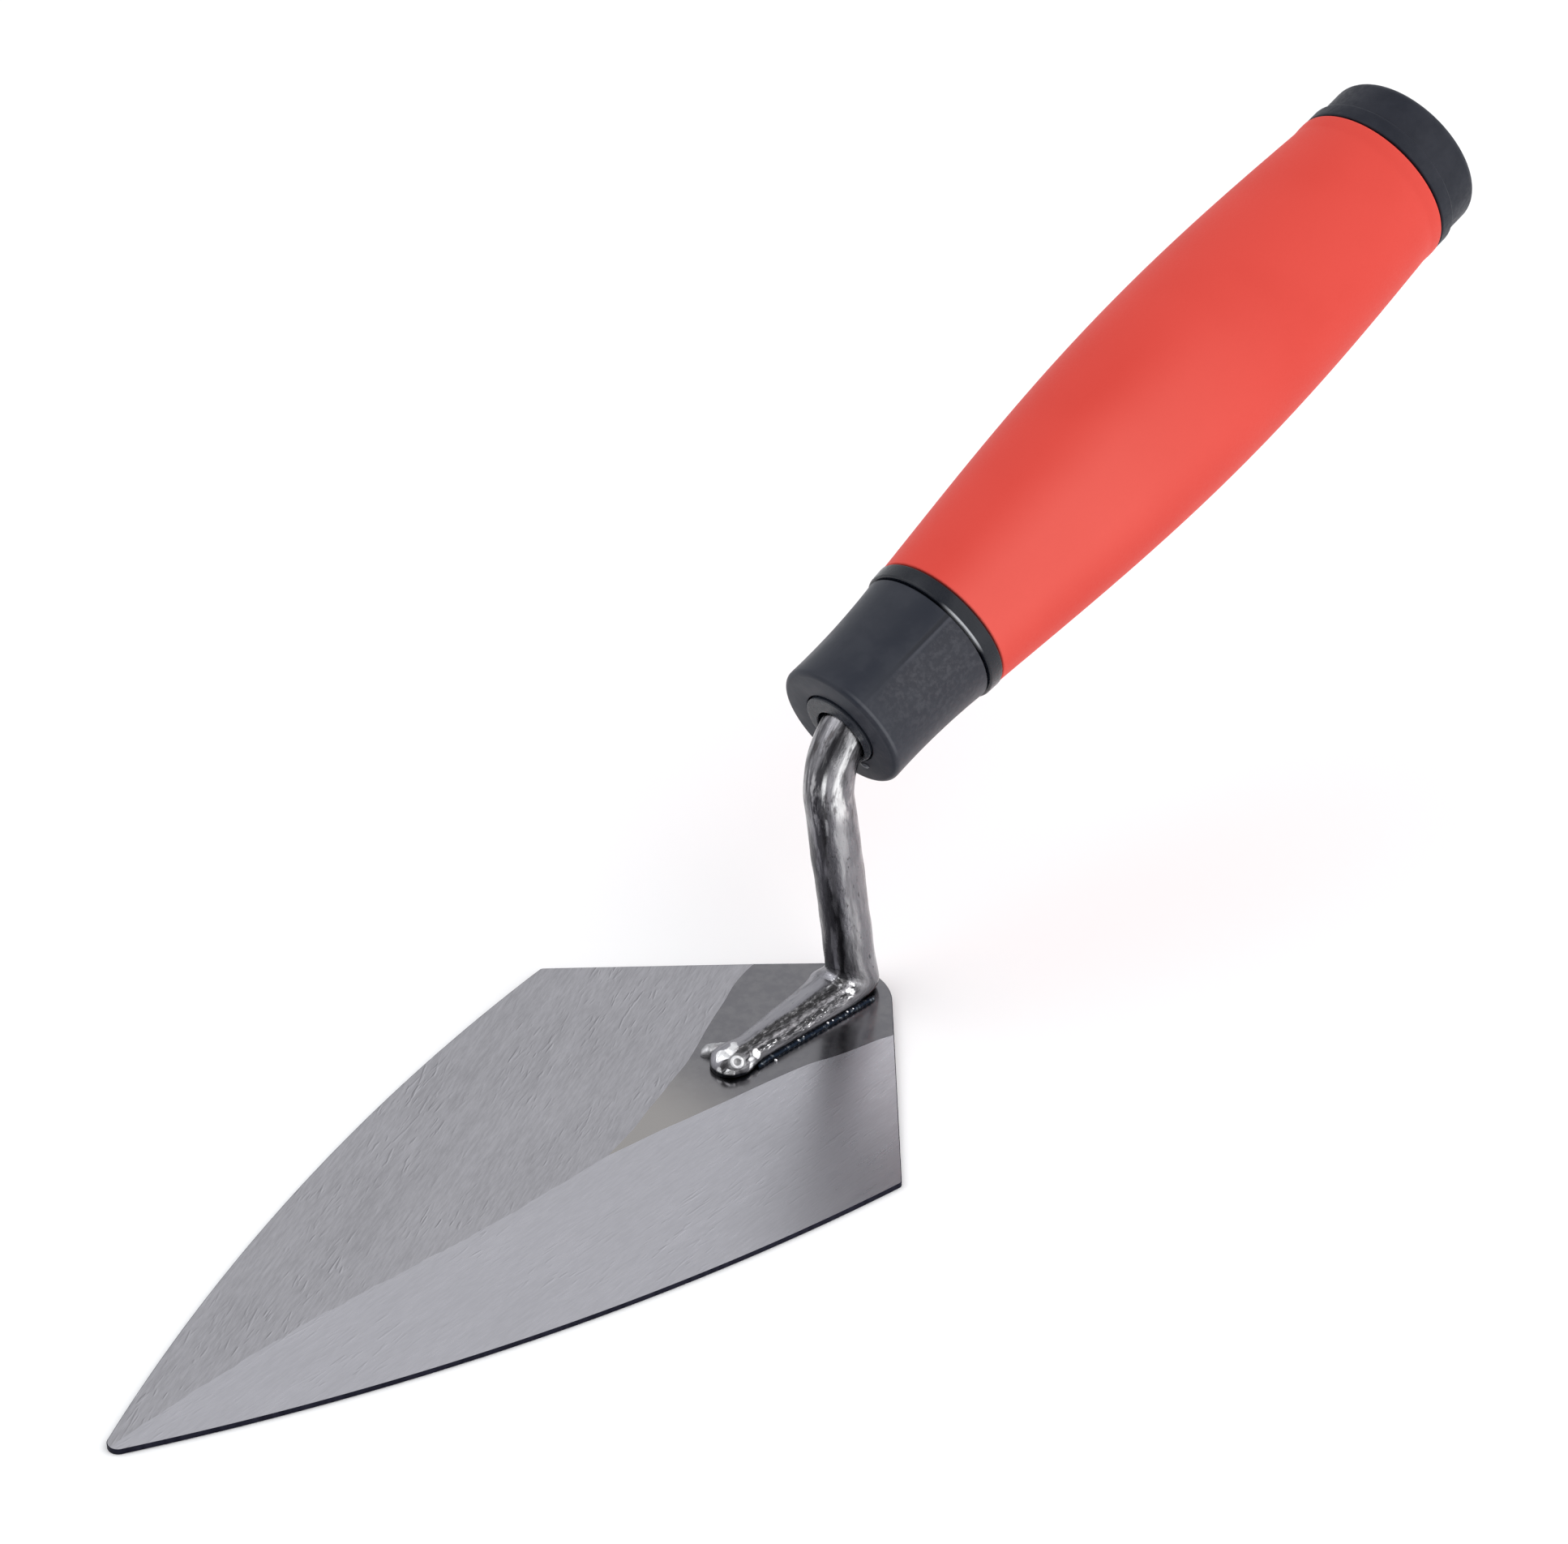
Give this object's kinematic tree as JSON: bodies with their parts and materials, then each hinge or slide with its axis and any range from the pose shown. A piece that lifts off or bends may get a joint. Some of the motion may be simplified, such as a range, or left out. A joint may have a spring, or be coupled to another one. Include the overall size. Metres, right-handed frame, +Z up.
{
  "type": "brick trowel",
  "caption": "Small brick trowel with a pointed flat steel blade, a welded cranked shank and a soft barrel-shaped grip between dark plastic ends, for laying and pointing mortar.",
  "frame": {"origin": "on the flat underside of the blade, on its centreline, level with the shoulders where the blade is widest", "axes": "+X from the blade's tip towards the handle, +Y across the blade to the left shoulder, +Z up out of the blade's working side"},
  "size_m": [0.2769, 0.0764, 0.1104],
  "materials": {
    "ground_steel": "hand-ground and brushed along two sloping faces, left bright and smooth under the shank",
    "forged_steel": "forged bar, belt polished, with small dents and darker pits left in it",
    "weld_metal": "narrow uneven weld bead, heat darkened",
    "black_plastic": "blue-black moulded plastic with a fine leather grain",
    "core_plastic": "dark moulded plastic, satin",
    "red_rubber": "smooth matte soft rubber",
    "cap_plastic": "blue-black moulded plastic, satin"
  },
  "bodies": {
    "root": {"blade": "ground_steel", "shank": "forged_steel", "weld_left": "weld_metal", "weld_right": "weld_metal", "front_collar": "black_plastic", "handle_core": "core_plastic", "grip_sleeve": "red_rubber", "end_cap": "cap_plastic"}
  },
  "joints": []
}
